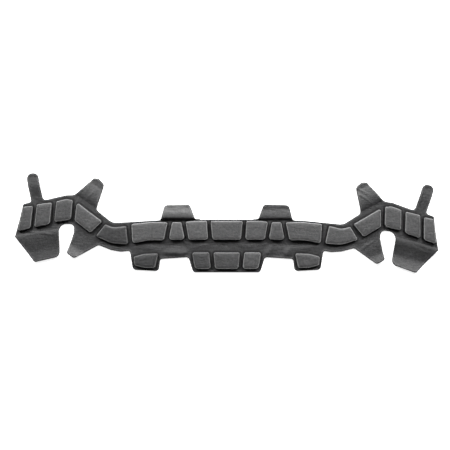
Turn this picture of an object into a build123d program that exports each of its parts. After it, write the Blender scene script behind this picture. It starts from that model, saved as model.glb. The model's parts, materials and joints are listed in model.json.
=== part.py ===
from build123d import *
import math
import os

# A padded liner strip for a head ring, lying flat with its pads up. One leather-like cover has a blister
# moulded over each foam block, a loop-faced backing closes the blocks in behind, and ten tabs round the edge
# fold back over the ring, each with a hook patch on its back. Millimetres, +Z up out of the pads, origin on
# the back face under the centre pad.

# Driving dimensions
BACKING = 1.0  # thickness of the loop-faced backing
SKIN = 0.8  # thickness of the cover
PAD_TOP = 7.0  # height of the blisters above the back face
EDGE_ROUND = 1.4  # rounding of a blister's upper edge
LIP = 1.6  # how far the cover runs past the backing
CHANNEL_GAP = 1.25  # half the break in the cover where the band flexes
BACKING_GAP = 1.6  # half the break in the backing at the same channels
FOLD_GAP = 2.0  # half the break in the cover where a tab folds
FOLD_CLEAR = 4.2  # distance from a tab's fold to the backing
HOOK_MARGIN = 2.4  # distance of a hook patch from its tab's edges
RIGHT_LAY = -7.0  # degrees that the right arm lies lower than the left one's mirror image
RIGHT_PIVOT = (143.0, -16.0)  # point about which the right arm lies over

# Channels where the band flexes, on the right half: upper end, lower end
BROW_CHANNEL = ((25.2, 17.5), (18.3, -59.5))
WAIST = ((137.1, 12.5), (134.1, -30.0))
TEMPLE_CHANNEL = ((210.5, 53.0), (215.2, 7.5))

# Outlines, clockwise from the upper left: x, y, corner radius
CENTRE = [(-25.2, 15.8, 0), (25.2, 15.8, 0), (18.4, -58.5, 0), (-18.4, -58.5, 0)]
BROW = [
    (25.2, 15.8, 0), (92.0, 14.6, 0), (107.5, 13.5, 0), (137.1, 11.6, 0), (134.2, -28.8, 0),
    (131.5, -55.0, 5), (95.0, -57.0, 4), (93.0, -40.0, 3.5), (53.5, -37.5, 4), (47.0, -58.5, 3.5),
    (18.4, -58.5, 0),
]
TEMPLE = [
    (137.1, 11.6, 0), (160.0, 10.5, 17), (182.3, 29.0, 0), (181.6, 31.6, 0), (210.2, 51.0, 0),
    (215.0, 9.0, 0), (213.7, 2.6, 0), (214.0, -1.4, 0), (180.3, -22.9, 0), (162.0, -27.5, 0),
    (148.0, -30.0, 0), (134.2, -28.8, 0),
]
END = [
    (210.8, 50.0, 0), (224.5, 49.5, 21), (258.0, 43.0, 0), (258.6, 46.9, 0), (275.0, 44.4, 0),
    (274.0, 40.6, 0), (285.0, 37.0, 2),
    (289.5, 17.0, 0), (296.0, -7.6, 0), (235.0, 1.5, 0), (235.0, 9.0, 7), (215.0, 9.0, 0),
]
TOP_TAB = [(45.2, 19.5, 0), (52.0, 36.5, 4), (87.0, 35.5, 4), (90.9, 19.5, 0)]
UPPER_STAR = [(181.5, 32.6, 0), (171.0, 64.5, 3.5), (178.0, 72.0, 5), (185.5, 73.0, 3), (209.8, 52.2, 0)]
LOWER_STAR = [(180.3, -22.9, 0), (214.0, -1.4, 0), (214.5, -4.5, 0), (223.5, -31.5, 4), (213.0, -39.0, 5)]
FINGER = [(258.6, 46.9, 0), (264.5, 80.5, 3.5), (274.0, 80.5, 5), (280.0, 74.5, 2), (275.0, 44.4, 0)]
LOBE = [(235.0, 1.5, 0), (296.0, -7.6, 0), (268.5, -44.5, 4), (233.5, -36.5, 8.5)]

# Tabs of the right half: outline, fold line, where the hook patch starts, and whether it lies with the arm
TABS = {
    "top": (TOP_TAB, ((42.0, 19.5), (94.0, 19.5)), 7.5, False),
    "upper_star": (UPPER_STAR, ((212.5, 53.4), (179.0, 30.9)), 17.0, True),
    "lower_star": (LOWER_STAR, ((216.0, -0.1), (178.0, -24.4)), 13.0, True),
    "finger": (FINGER, ((256.0, 47.3), (277.0, 44.1)), 12.0, True),
    "lobe": (LOBE, ((232.0, 1.9), (298.0, -7.9)), 16.0, True),
}

# Blister outlines of the right half: x, y, corner radius. The main row runs outwards from the centre.
CENTRE_MAIN = [(-22.5, 13.5, 2), (22.5, 13.5, 2), (20.0, -13.0, 3), (-20.0, -13.0, 3)]
CENTRE_LOWER = [(-18.5, -30.5, 2), (18.5, -30.5, 2), (16.3, -53.5, 3), (-16.3, -53.5, 3)]
BROW_MAIN = [
    [(27.5, 13.5, 2), (47.0, 13.5, 0), (57.5, 12.0, 2), (53.0, -13.0, 3), (26.0, -13.0, 3)],
    [(63.0, 11.5, 2), (76.0, 11.5, 2), (81.0, -13.0, 3), (58.5, -13.0, 3)],
    [(82.0, 11.5, 2), (104.0, 12.0, 0), (133.0, 9.0, 2), (131.5, -18.0, 3), (109.5, -14.0, 0), (87.5, -13.5, 3)],
]
BROW_LOWER = [
    [(24.5, -30.5, 2), (48.5, -30.5, 2.5), (44.0, -53.5, 4), (22.0, -53.5, 3)],
    [(95.5, -32.0, 1.5), (115.0, -32.5, 20), (129.5, -36.5, 2), (129.0, -48.5, 3), (114.0, -52.0, 26),
     (100.0, -52.0, 2)],
]
TEMPLE_MAIN = [
    [(140.0, 6.0, 1.5), (158.5, 4.0, 17), (169.5, 8.5, 1.5), (182.5, -8.0, 1.5), (160.0, -18.0, 28),
     (137.5, -19.0, 2)],
    [(173.5, 12.5, 1.5), (209.0, 39.5, 2), (212.0, 14.0, 3), (190.0, -3.5, 2.5)],
]
END_MAIN = [
    [(214.5, 42.0, 1.5), (223.0, 44.0, 12), (237.5, 40.5, 1.5), (240.5, 12.0, 2), (217.0, 15.0, 4)],
    [(243.5, 39.0, 1.5), (264.5, 36.5, 2), (268.5, 4.5, 2), (246.5, 9.0, 4)],
    [(270.0, 34.5, 1.5), (284.0, 33.0, 1.5), (291.5, -1.0, 2), (273.5, 3.0, 4)],
]


def place(point, side, with_arm):
    """Where a point of the right half lies on a side: the right arm lies over, and the left is a mirror image."""
    x, y = point[:2]
    if side == "right":
        if with_arm and x > WAIST[0][0] + 0.1:
            turn = math.radians(RIGHT_LAY)
            dx, dy = x - RIGHT_PIVOT[0], y - RIGHT_PIVOT[1]
            x = RIGHT_PIVOT[0] + dx * math.cos(turn) - dy * math.sin(turn)
            y = RIGHT_PIVOT[1] + dx * math.sin(turn) + dy * math.cos(turn)
        return x, y
    return -x, y


def outline_face(outline, side="right", with_arm=False):
    """A flat face with rounded corners from a list of x, y and corner radius."""
    points = [place(p, side, with_arm) for p in outline]
    radii = [p[2] for p in outline]
    face = make_face(FilletPolyline(*points, radius=radii, close=True)).face()
    return face if face.normal_at().Z > 0 else -face


def break_strip(line, half_width, side="right", with_arm=False):
    """A long rectangle along a fold or channel, to part the sheets there."""
    (x0, y0), (x1, y1) = [place(p, side, with_arm) for p in line]
    length = math.hypot(x1 - x0, y1 - y0)
    turn = math.degrees(math.atan2(y1 - y0, x1 - x0))
    return Pos((x0 + x1) / 2, (y0 + y1) / 2) * Rot(0, 0, turn) * Rectangle(length, 2 * half_width)


def slab(face, low, high):
    """A flat layer between two heights."""
    return extrude(Pos(0, 0, low) * face, high - low)


def foam_block(pad_face):
    """The foam under one blister: the blister less the thickness of its skin, rounded above."""
    block = slab(offset(pad_face, amount=-SKIN), BACKING, PAD_TOP - SKIN)
    return fillet(block.edges().group_by(Axis.Z)[-1], EDGE_ROUND - SKIN / 2)


def blister(pad_face):
    """The outside of one moulded blister, before the foam's space is taken out of it."""
    block = slab(pad_face, BACKING, PAD_TOP)
    return fillet(block.edges().group_by(Axis.Z)[-1], EDGE_ROUND)


def write(name, shape):
    """Writes one node's STEP."""
    shape.label = name
    export_step(shape, f"parts/{name}.step")


def write_band_length(name, outline, channels, folds, pads, side="right", with_arm=False):
    """One length of the band: its cover with blisters, the foam in them and the backing behind."""
    face = outline_face(outline, side, with_arm)
    cover_face, backing_face = face, offset(face, amount=-LIP)
    for line, moved in channels:
        cover_face -= break_strip(line, CHANNEL_GAP, side, moved)
        backing_face -= break_strip(line, BACKING_GAP, side, moved)
    for line, moved in folds:
        cover_face -= break_strip(line, FOLD_GAP, side, moved)
        backing_face -= break_strip(line, FOLD_CLEAR, side, moved)
    cover = slab(cover_face, BACKING, BACKING + SKIN)
    for node, pad_outline in pads.items():
        pad_face = outline_face(pad_outline, side, with_arm)
        foam = foam_block(pad_face)
        cover = cover + blister(pad_face) - foam
        write(node, foam)
    write(f"cover_{name}", cover)
    write(f"backing_{name}", slab(backing_face, 0, BACKING))


def write_tab(name, outline, fold, hook_start, with_arm, side):
    """One tab of the cover and the hook patch on its back."""
    face = outline_face(outline, side, with_arm)
    write(f"tab_{name}_{side}", slab(face - break_strip(fold, FOLD_GAP, side, with_arm), BACKING, BACKING + SKIN))
    hook_face = offset(face, amount=-HOOK_MARGIN) - break_strip(fold, hook_start, side, with_arm)
    write(f"hook_{name}_{side}", slab(hook_face, 0, BACKING))


def numbered(kind, numbers, outlines):
    """Node names for a run of foam blocks, with their outlines."""
    return {f"foam_{kind}_{number:02d}": outline for number, outline in zip(numbers, outlines)}


os.makedirs("parts", exist_ok=True)

# Main row blocks are numbered 1 to 17 and lower row blocks 1 to 5, from the left end to the right end
CENTRE_BLOCKS = {"foam_main_09": CENTRE_MAIN, "foam_lower_03": CENTRE_LOWER}
mirrored_channel = tuple((-x, y) for x, y in BROW_CHANNEL)
write_band_length("centre", CENTRE, [(BROW_CHANNEL, False), (mirrored_channel, False)], [], CENTRE_BLOCKS)

for side, step, first_main, first_lower in (("left", -1, 8, 2), ("right", 1, 10, 4)):
    folds = {name: (tab[1], tab[3]) for name, tab in TABS.items()}
    brow = numbered("main", [first_main + step * i for i in range(3)], BROW_MAIN)
    brow |= numbered("lower", [first_lower + step * i for i in range(2)], BROW_LOWER)
    temple = numbered("main", [first_main + step * i for i in (3, 4)], TEMPLE_MAIN)
    end = numbered("main", [first_main + step * i for i in (5, 6, 7)], END_MAIN)
    write_band_length(
        f"brow_{side}", BROW, [(BROW_CHANNEL, False), (WAIST, False)], [folds["top"]], brow, side
    )
    write_band_length(
        f"temple_{side}", TEMPLE, [(WAIST, False), (TEMPLE_CHANNEL, True)],
        [folds["upper_star"], folds["lower_star"]], temple, side, with_arm=True,
    )
    write_band_length(
        f"end_{side}", END, [(TEMPLE_CHANNEL, True)], [folds["finger"], folds["lobe"]], end, side, with_arm=True
    )
    for name, (outline, fold, hook_start, with_arm) in TABS.items():
        write_tab(name, outline, fold, hook_start, with_arm, side)
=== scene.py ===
import functools
import json
import math

import bmesh
import bpy
import numpy as np
from bpy.props import FloatProperty, FloatVectorProperty, PointerProperty
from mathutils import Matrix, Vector
from mathutils.geometry import delaunay_2d_cdt


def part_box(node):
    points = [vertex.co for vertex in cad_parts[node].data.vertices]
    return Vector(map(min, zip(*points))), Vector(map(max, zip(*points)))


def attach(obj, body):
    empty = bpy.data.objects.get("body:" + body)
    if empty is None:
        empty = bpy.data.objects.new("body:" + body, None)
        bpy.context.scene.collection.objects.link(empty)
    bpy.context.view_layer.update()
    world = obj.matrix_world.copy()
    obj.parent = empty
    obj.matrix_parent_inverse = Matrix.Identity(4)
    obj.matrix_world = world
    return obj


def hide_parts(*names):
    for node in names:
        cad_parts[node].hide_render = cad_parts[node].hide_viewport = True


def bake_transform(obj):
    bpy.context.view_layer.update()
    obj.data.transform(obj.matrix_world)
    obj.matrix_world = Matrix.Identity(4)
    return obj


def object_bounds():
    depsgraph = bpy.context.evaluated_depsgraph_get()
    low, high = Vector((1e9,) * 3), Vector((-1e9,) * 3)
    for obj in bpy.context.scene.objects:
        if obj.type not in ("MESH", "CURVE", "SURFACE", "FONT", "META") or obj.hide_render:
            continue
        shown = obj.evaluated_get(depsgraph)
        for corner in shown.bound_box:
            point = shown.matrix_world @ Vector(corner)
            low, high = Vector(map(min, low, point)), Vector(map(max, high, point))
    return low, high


bl_info = {
    "name": "Padded liner strip",
    "version": (1, 0, 0),
    "blender": (4, 5, 0),
    "location": "3D View > Sidebar > Liner strip",
    "description": "Makes the cover, foam pads, lining and hook patches of a padded head-ring liner",
    "category": "Add Mesh",
}

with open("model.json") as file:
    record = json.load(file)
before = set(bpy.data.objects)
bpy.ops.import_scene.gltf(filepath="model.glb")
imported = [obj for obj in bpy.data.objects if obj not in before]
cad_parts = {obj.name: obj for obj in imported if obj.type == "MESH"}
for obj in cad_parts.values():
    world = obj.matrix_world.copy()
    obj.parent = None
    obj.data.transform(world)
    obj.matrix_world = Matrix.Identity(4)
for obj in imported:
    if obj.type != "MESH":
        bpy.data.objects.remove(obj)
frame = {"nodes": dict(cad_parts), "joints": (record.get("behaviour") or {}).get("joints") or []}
CAD_BOX = [list(corner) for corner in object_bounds()]

MM = 0.001
SIDES = {"left": -1, "right": 1}
JOINTS = {joint["name"]: joint for joint in frame["joints"]}
JOINT_ONTO = {joint["child"]: joint for joint in frame["joints"]}
LINING_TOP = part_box("backing_centre")[1].z
SHEET_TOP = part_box("tab_top_left")[1].z
PAD_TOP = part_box("cover_centre")[1].z
SKIN = SHEET_TOP - LINING_TOP

# Half outline of the cover, round from the top of the middle to its foot: x, y, corner radius in millimetres.
# The first and last groups belong to the brow, and the one between to the arm, which lies over on the right.
BROW_TOP = [(44.0, 15.4, 3), (52.0, 36.5, 5.5), (87.0, 35.5, 5.5), (92.0, 14.4, 4), (112.0, 13.2, 60)]
ARM_EDGE = [
    (160.0, 10.5, 17), (182.5, 29.0, 4), (171.0, 64.5, 4.5), (178.0, 72.2, 7), (185.5, 73.2, 4.5),
    (213.0, 49.5, 14), (224.5, 49.5, 21), (257.0, 42.0, 5), (264.9, 81.0, 7), (281.0, 79.2, 7.5),
    (273.5, 40.0, 3), (285.0, 37.0, 2), (289.5, 17.0, 40), (296.5, -8.5, 3),
    (268.5, -44.5, 4), (233.5, -36.5, 8), (235.0, 9.0, 10), (213.5, 9.0, 9), (214.0, -3.5, 8),
    (223.5, -31.5, 4), (213.0, -39.0, 5), (179.5, -20.5, 5.5), (162.0, -27.5, 14), (148.0, -30.0, 20),
]
BROW_FOOT = [(135.5, -28.5, 3), (131.5, -55.0, 6), (95.0, -57.0, 5.5), (93.0, -40.0, 3.5), (53.5, -37.5, 4),
             (47.0, -58.5, 5)]
RIGHT_LAY = math.radians(-7.0)
RIGHT_PIVOT = np.array([143.0, -16.0])

# Upper edges of the blisters on the right half: x, y, corner radius in millimetres
CENTRE_PADS = {
    "main": [(-22.5, 13.5, 2), (22.5, 13.5, 2), (20.0, -13.0, 3), (-20.0, -13.0, 3)],
    "lower": [(-18.5, -30.5, 2), (18.5, -30.5, 2), (16.3, -53.5, 3), (-16.3, -53.5, 3)],
}
SIDE_PADS = {
    "brow": {
        "main": [
            [(27.5, 13.5, 2), (47.0, 13.5, 40), (57.5, 12.0, 2), (53.0, -13.0, 3), (26.0, -13.0, 3)],
            [(63.0, 11.5, 2), (76.0, 11.5, 2), (81.0, -13.0, 3), (58.5, -13.0, 3)],
            [(82.0, 11.5, 2), (104.0, 12.0, 60), (133.0, 9.0, 2), (131.5, -18.0, 3), (109.5, -14.0, 40),
             (87.5, -13.5, 3)],
        ],
        "lower": [
            [(24.5, -30.5, 2), (48.5, -30.5, 2.5), (44.0, -53.5, 4), (22.0, -53.5, 3)],
            [(95.5, -32.0, 1.6), (115.0, -32.5, 20), (129.5, -36.5, 2), (129.0, -48.5, 3),
             (114.0, -52.0, 26), (100.0, -52.0, 2)],
        ],
    },
    "temple": {
        "main": [
            [(140.0, 6.0, 1.6), (158.5, 4.0, 17), (169.5, 8.5, 1.6), (182.5, -8.0, 1.6),
             (160.0, -18.0, 28), (137.5, -19.0, 2)],
            [(173.5, 12.5, 1.6), (209.0, 39.5, 2), (212.0, 14.0, 3), (190.0, -3.5, 2.5)],
        ],
    },
    "end": {
        "main": [
            [(214.5, 42.0, 1.6), (223.0, 44.0, 12), (237.5, 40.5, 1.6), (240.5, 12.0, 2), (217.0, 15.0, 4)],
            [(243.5, 39.0, 1.6), (264.5, 36.5, 2), (268.5, 4.5, 2), (246.5, 9.0, 4)],
            [(270.0, 34.5, 1.6), (284.0, 33.0, 1.6), (291.5, -1.0, 2), (273.5, 3.0, 4)],
        ],
    },
}
PAD_SOFTNESS = 1.35  # how much rounder the skin's corners are than the foam mould's
# The number of a row's first pad beside the centre; they count down to the left and up to the right
FIRST_PAD = {"left": {"main": 8, "lower": 2}, "right": {"main": 10, "lower": 4}}

# Where the cover bends at each kind of joint, in millimetres: how far before and after the axis the bend
# runs, and how far the seam reaches along the axis, inwards or down and outwards or up.
CHANNELS = {
    "brow_flex": (1.1, 1.1, 39.0, 39.0),
    "waist_flex": (0.5, 0.7, 21.3, 21.5),
    "temple_flex": (1.1, 1.1, 29.0, 23.8),
}
SEAM_TAILS = {"waist_flex": (4.5, -1.5)}  # last step of a seam, across and along, out through the cut edge
FOLDS = {
    "top_fold": (1.6, 2.6, 26.0, 26.0),
    "upper_star_fold": (1.8, 2.6, 20.2, 20.2),
    "lower_star_fold": (1.8, 2.6, 22.5, 22.5),
    "finger_fold": (1.5, 2.6, 10.6, 10.6),
    "lobe_fold": (1.6, 2.6, 33.4, 33.4),
}
LINING_CLEAR = 4.2  # from a tab's fold to the lining's edge
LINING_INSET = 1.6  # from the cover's edge to the lining's
OUTLINE_STEP = 1.3  # spacing of the points on the cut edge and round a blister
ROW_STEP = 0.9  # spacing of the points along a seam or a channel
CHANNEL_REACH = 7.5  # pads that come nearer than this have a channel between them
HINGE_CLEAR = 12.0  # a channel whose middle is nearer than this to a hinge is that hinge's

# How each tab lies: where its arch starts before the fold, the arch's height, where along it the arch
# peaks, where the tip starts to lift, and the lift. Millimetres, and shares of the tab's length.
TAB_SHAPE = {
    "top_fold_left": (4.6, 4.6, 0.18, 0.94, 0.1),
    "top_fold_right": (4.6, 3.4, 0.18, 0.62, 2.0),
    "upper_star_fold_left": (2.0, 1.8, 0.26, 0.70, 4.8),
    "upper_star_fold_right": (2.0, 2.2, 0.26, 0.78, 3.2),
    "lower_star_fold_left": (0.0, 0.5, 0.30, 0.52, 5.4),
    "lower_star_fold_right": (0.0, 0.8, 0.30, 0.60, 4.6),
    "finger_fold_left": (0.0, 1.6, 0.50, 0.80, 0.8),
    "finger_fold_right": (0.0, 1.4, 0.50, 0.80, 1.0),
    "lobe_fold_left": (1.0, 1.6, 0.18, 0.60, 2.4),
    "lobe_fold_right": (1.0, 2.6, 0.16, 0.56, 3.2),
}
TAB_LENGTH = {"top_fold": 16.5, "upper_star_fold": 34.0, "lower_star_fold": 30.0, "finger_fold": 35.0,
              "lobe_fold": 40.0}
NOTCH = (229.0, -20.0)  # a point in the notch between the lower star tab and the lobe
# Painted highlight on each tab where it tilts towards the light: how much lighter it gets, and how far past
# its fold that is reached, in millimetres
TAB_HIGHLIGHT = {"top_fold_left": (0.28, 7.0), "top_fold_right": (0.08, 7.0), "upper_star_fold_left": (0.32, 30.0),
            "upper_star_fold_right": (0.28, 30.0), "lower_star_fold_left": (0.22, 26.0),
            "lower_star_fold_right": (0.10, 26.0), "lobe_fold_right": (0.22, 36.0)}
# Painted shade in the hollow beside a lobe's fold: depth, middle and width of the hollow
LOBE_HOLLOW_SHADE = {"lobe_fold_left": (0.08, 6.0, 6.0), "lobe_fold_right": (0.60, 10.0, 8.0)}

# Soft swells and small folds of the cover between the pads: x, y, half length, half width, turn, height.
# Millimetres and degrees.
SWELLS = [
    (-74, -31, 12, 4.0, 0, 3.0), (-62, -32, 7, 3.4, 20, 1.4), (58, -31, 7, 4, 60, 2.4),
    (84, -32, 7, 4, 75, 2.8), (-76, -20.5, 26, 3.6, 0, -0.8), (92, -20.5, 28, 3.6, -3, -0.8),
    (0, -21.5, 20, 3.0, 0, -0.45), (-112, -24, 16, 3, -6, 0.6), (112, -24, 16, 3, 6, 0.7),
    (-35, -22, 10, 3, 5, 0.5), (30, -22, 12, 3, -4, 0.5), (-85, -18.5, 5, 1.2, 60, 0.6),
    (-80, -19.5, 4, 1.0, 25, 0.5), (-57, -18, 5, 1.2, -50, 0.7), (-52, -19, 4, 1.0, -15, 0.5),
    (57, -18, 4, 1.2, 50, 0.5), (83, -18.5, 4, 1.2, -55, 0.5), (-268, -2.5, 24, 1.6, -8, 0.5),
    (-250, -4.5, 12, 1.2, -12, 0.4), (-274, -24, 3, 0.9, 60, 0.4), (200, -19, 10, 1.2, 36, 0.9),
    (193, -22, 9, 1.2, 40, 0.7), (-208, 42, 14, 1.3, 55, 0.7), (-201, 47, 12, 1.2, 60, 0.6),
    (-190, 50, 10, 1.3, 48, 0.7), (186, 57, 12, 1.3, -28, 0.9), (192, 46, 12, 1.2, -36, 0.6),
    (-22, 24, 9, 1.2, -30, 0.3), (-68, 28, 12, 1.2, -28, 0.5), (-60, 26, 9, 1.1, -30, 0.4),
    (-78, 25, 9, 1.2, -24, 0.4), (70, 29, 12, 1.2, -10, 0.5), (64, 25, 9, 1.1, 12, 0.4),
    (272, -24, 14, 2.0, -22, -0.8), (258, -34, 10, 1.3, 30, 0.5), (-176, 24, 9, 2.4, -42, 0.7),
    (158, -24.5, 9, 1.2, 5, 0.35), (-158, -24, 10, 1.4, -8, 0.4),
]
# Height and half width of the welt up a channel, the bead round the lining, and the roll at the cut edge
CHANNEL_WELT, LINING_BEAD, CUT_ROLL = (0.6, 0.7), (0.55, 0.6), (0.50, 0.7)
# Shallow pressed lines on the pads, bumped in and darkened with painted shade: x, y, half length, half width,
# turn, depth. Millimetres and degrees.
SCORES = [
    (-104.2, -1.0, 12.5, 0.55, 90, 1.0), (-101.5, -42.5, 9.0, 0.5, 90, 0.7), (-34.5, -38.0, 4.6, 0.6, 2, 1.0),
    (-34.5, -42.6, 4.0, 0.6, -2, 1.0), (-34.8, -47.4, 4.6, 0.6, 1, 0.9), (121.0, 3.0, 6.0, 0.5, -42, 0.7),
]


def length(name, default, description):
    """A length that a user may change, given in millimetres."""
    return FloatProperty(name=name, description=description, default=default * MM, unit="LENGTH")


def colour(name, default, description):
    """A colour that a user may change."""
    return FloatVectorProperty(name=name, description=description, subtype="COLOR", default=default,
                               min=0, max=1)


class LinerSizes(bpy.types.PropertyGroup):
    """Sizes of the soft pieces."""

    draft: length("Draft", 0.55, "How far a blister's foot stands out from its upper edge")
    foot_round: length("Foot round", 0.45, "Radius where a blister rises out of the sheet")
    edge_round: length("Edge round", 1.15, "Radius of a blister's upper edge")
    crown: length("Crown", 0.25, "How far the middle of a pad stands above its edge")
    swell: length("Swell", 0.45, "The most that the foam's pressure may move a pad's face")
    mesh_step: length("Mesh step", 1.25, "Spacing of the cover's vertices")
    hook_pitch: length("Hook pitch", 1.5, "Spacing of the hooks on a patch")


class LinerColours(bpy.types.PropertyGroup):
    """Colours of the soft pieces and the floor."""

    cover: colour("Cover", (0.030, 0.030, 0.031), "Face of the cover")
    # Lighter colour mixed into the cover: partly wear, partly painted highlight on edges, rims, pad tops and
    # tabs
    wear_and_painted_light: colour("Rubbed edge", (0.34, 0.34, 0.34), "Cover where its edges are rubbed")
    foam: colour("Foam", (0.035, 0.035, 0.037), "Foam inside the pads")
    lining: colour("Lining", (0.022, 0.022, 0.024), "Loop-faced lining at the back")
    hook: colour("Hook", (0.014, 0.014, 0.015), "Hook patches on the tabs")
    floor: colour("Floor", (0.94, 0.94, 0.94), "The floor")


# --- Plan of the cover


def laid(points, side, with_arm):
    """Points of the right half, in millimetres, where they lie on a side: the right arm turned about its
    pivot by its lay, and the left half the mirror image of the right."""
    points = np.asarray(points, float)
    if side == "left":
        return points * [-1, 1]
    if not with_arm:
        return points
    dx, dy = (points - RIGHT_PIVOT).T
    turned = np.c_[dx * math.cos(RIGHT_LAY) - dy * math.sin(RIGHT_LAY),
                   dx * math.sin(RIGHT_LAY) + dy * math.cos(RIGHT_LAY)]
    return RIGHT_PIVOT + turned


def unit(vectors):
    """Vectors brought to unit length, a row each."""
    return vectors / np.linalg.norm(vectors, axis=1)[:, None]


def rounded(points, radii, step, arc_points=8):
    """A closed outline with an arc at every corner. The tangent length is the radius times the tangent of
    half the turn; the arc's points are centre - bisector R cos a + travel R sin a, for a from minus to plus
    half the turn; and the straight runs are divided evenly to at most the step."""
    before, after = np.roll(points, 1, 0) - points, np.roll(points, -1, 0) - points
    room = np.minimum(np.linalg.norm(before, axis=1), np.linalg.norm(after, axis=1)) * 0.49
    before, after = unit(before), unit(after)
    half_turn = (np.pi - np.arccos(np.clip((before * after).sum(1), -1, 1))) / 2
    tangent = np.minimum(np.asarray(radii, float) * np.tan(half_turn), room)
    radius = tangent / np.tan(half_turn)
    bisector, travel = unit(before + after), unit(after - before)
    centre = points + bisector * (radius / np.cos(half_turn))[:, None]
    angle = np.linspace(-1, 1, arc_points)[None, :, None] * half_turn[:, None, None]
    reach = radius[:, None, None]
    arcs = (centre[:, None] - bisector[:, None] * reach * np.cos(angle)
            + travel[:, None] * reach * np.sin(angle))
    corners = arcs.reshape(-1, 2)
    runs = np.roll(corners, -1, 0) - corners
    counts = np.maximum(1, np.ceil(np.linalg.norm(runs, axis=1) / step).astype(int))
    owner = np.repeat(np.arange(len(corners)), counts)
    along = (np.arange(counts.sum()) - np.repeat(np.cumsum(counts) - counts, counts)) / counts[owner]
    return corners[owner] + runs[owner] * along[:, None]


def outward(loop):
    """Unit normals of a closed loop that point away from what it encloses."""
    run = np.roll(loop, -1, 0) - np.roll(loop, 1, 0)
    normal = unit(np.c_[run[:, 1], -run[:, 0]])
    area = (loop[:, 0] * np.roll(loop[:, 1], -1) - loop[:, 1] * np.roll(loop[:, 0], -1)).sum()
    return normal if area > 0 else -normal


def inside(points, loop):
    """Whether each point is in a closed loop: it is where a ray along +X crosses the loop an odd number of
    times."""
    x0, y0 = loop.T
    x1, y1 = np.roll(loop, -1, 0).T
    px, py = points[:, :1], points[:, 1:2]
    spans = (y0 > py) != (y1 > py)
    crossing = x0 + (py - y0) * (x1 - x0) / np.where(y1 == y0, 1e-12, y1 - y0)
    return (spans & (px < crossing)).sum(1) % 2 == 1


def distance_to(points, loop, chunk=4000):
    """Distance from each point to the nearest of a loop's points, worked out in blocks to save memory."""
    blocks = [points[i:i + chunk] for i in range(0, len(points), chunk)]
    return np.concatenate([np.sqrt(((b[:, None] - loop[None]) ** 2).sum(2).min(1)) for b in blocks])


@functools.lru_cache(None)
def cover_outline():
    """The whole cut edge of the cover, in millimetres."""
    groups = ((BROW_TOP, False), (ARM_EDGE, True), (BROW_FOOT, False))
    right, left = (np.concatenate([laid([p[:2] for p in group], side, arm) for group, arm in groups])
                   for side in ("right", "left"))
    radii = [p[2] for group, _ in groups for p in group]
    return rounded(np.r_[right, left[::-1]], radii + radii[::-1], OUTLINE_STEP)


@functools.lru_cache(None)
def pad_loops():
    """Each foam node's name with its blister's upper edge as a loop, in millimetres, and its band length."""
    loops = {}
    for number, kind in ((9, "main"), (3, "lower")):
        outline = CENTRE_PADS[kind]
        loops[f"foam_{kind}_{number:02d}"] = ("centre", loop_of(outline, "right", False))
    for side in SIDES:
        number, step = dict(FIRST_PAD[side]), SIDES[side]
        for length, rows in SIDE_PADS.items():
            for kind, outlines in rows.items():
                for outline in outlines:
                    name = f"foam_{kind}_{number[kind]:02d}"
                    number[kind] += step
                    loops[name] = (f"{length}_{side}", loop_of(outline, side, length != "brow"))
    return loops


def loop_of(outline, side, with_arm):
    """A pad's corner list as a rounded loop that runs anticlockwise."""
    points = laid([p[:2] for p in outline], side, with_arm)
    radii = [PAD_SOFTNESS * p[2] for p in outline]
    if side == "right":
        points, radii = points[::-1], radii[::-1]
    return rounded(points, radii, OUTLINE_STEP, 7)


def kind_and_side(name):
    """A hinge's kind and its side."""
    return name.rsplit("_", 1)


def joint_lines(name):
    """A hinge seen from above, in millimetres: its middle, the direction across it towards the child, and
    the direction along it, outwards on a fold and up on a channel."""
    joint = JOINTS[name]
    middle = np.array(joint["pos_m"][:2]) / MM
    axis = np.array(joint["axis"][:2])
    across = np.array([-axis[1], axis[0]])
    wanted = np.array([0.0, 1.0] if "flex" in name else [SIDES[kind_and_side(name)[1]], 0.0])
    return middle, across, axis * np.sign(axis @ wanted)


def blend_kinds():
    """Every joint's name with its bend and seam reaches."""
    return {f"{kind}_{side}": reach for side in SIDES for kind, reach in (CHANNELS | FOLDS).items()}


@functools.lru_cache(None)
def channel_lines():
    """The line up the middle of each channel between neighbouring pads of the main row: its middle, its
    direction and half its length, in millimetres. It is the best straight line through the points half way
    between the two pads' edges."""
    row = [loop for name, (_, loop) in sorted(pad_loops().items()) if "main" in name]
    lines = []
    for first, second in zip(row, row[1:]):
        apart = np.linalg.norm(first[:, None] - second[None], axis=2)
        near = apart.min(1) < CHANNEL_REACH
        between = (first[near] + second[apart[near].argmin(1)]) / 2
        middle = between.mean(0)
        direction = np.linalg.svd(between - middle)[2][0]
        lines.append((middle, direction, np.abs((between - middle) @ direction).max()))
    return lines


def staggered(low, high, step, row_step):
    """Points in rows between two corners, every other row moved on by half a step."""
    column, line = np.meshgrid(np.arange(low[0], high[0], step), np.arange(low[1], high[1], row_step))
    column[1::2] += step / 2
    return np.c_[column.ravel(), line.ravel()]


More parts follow.
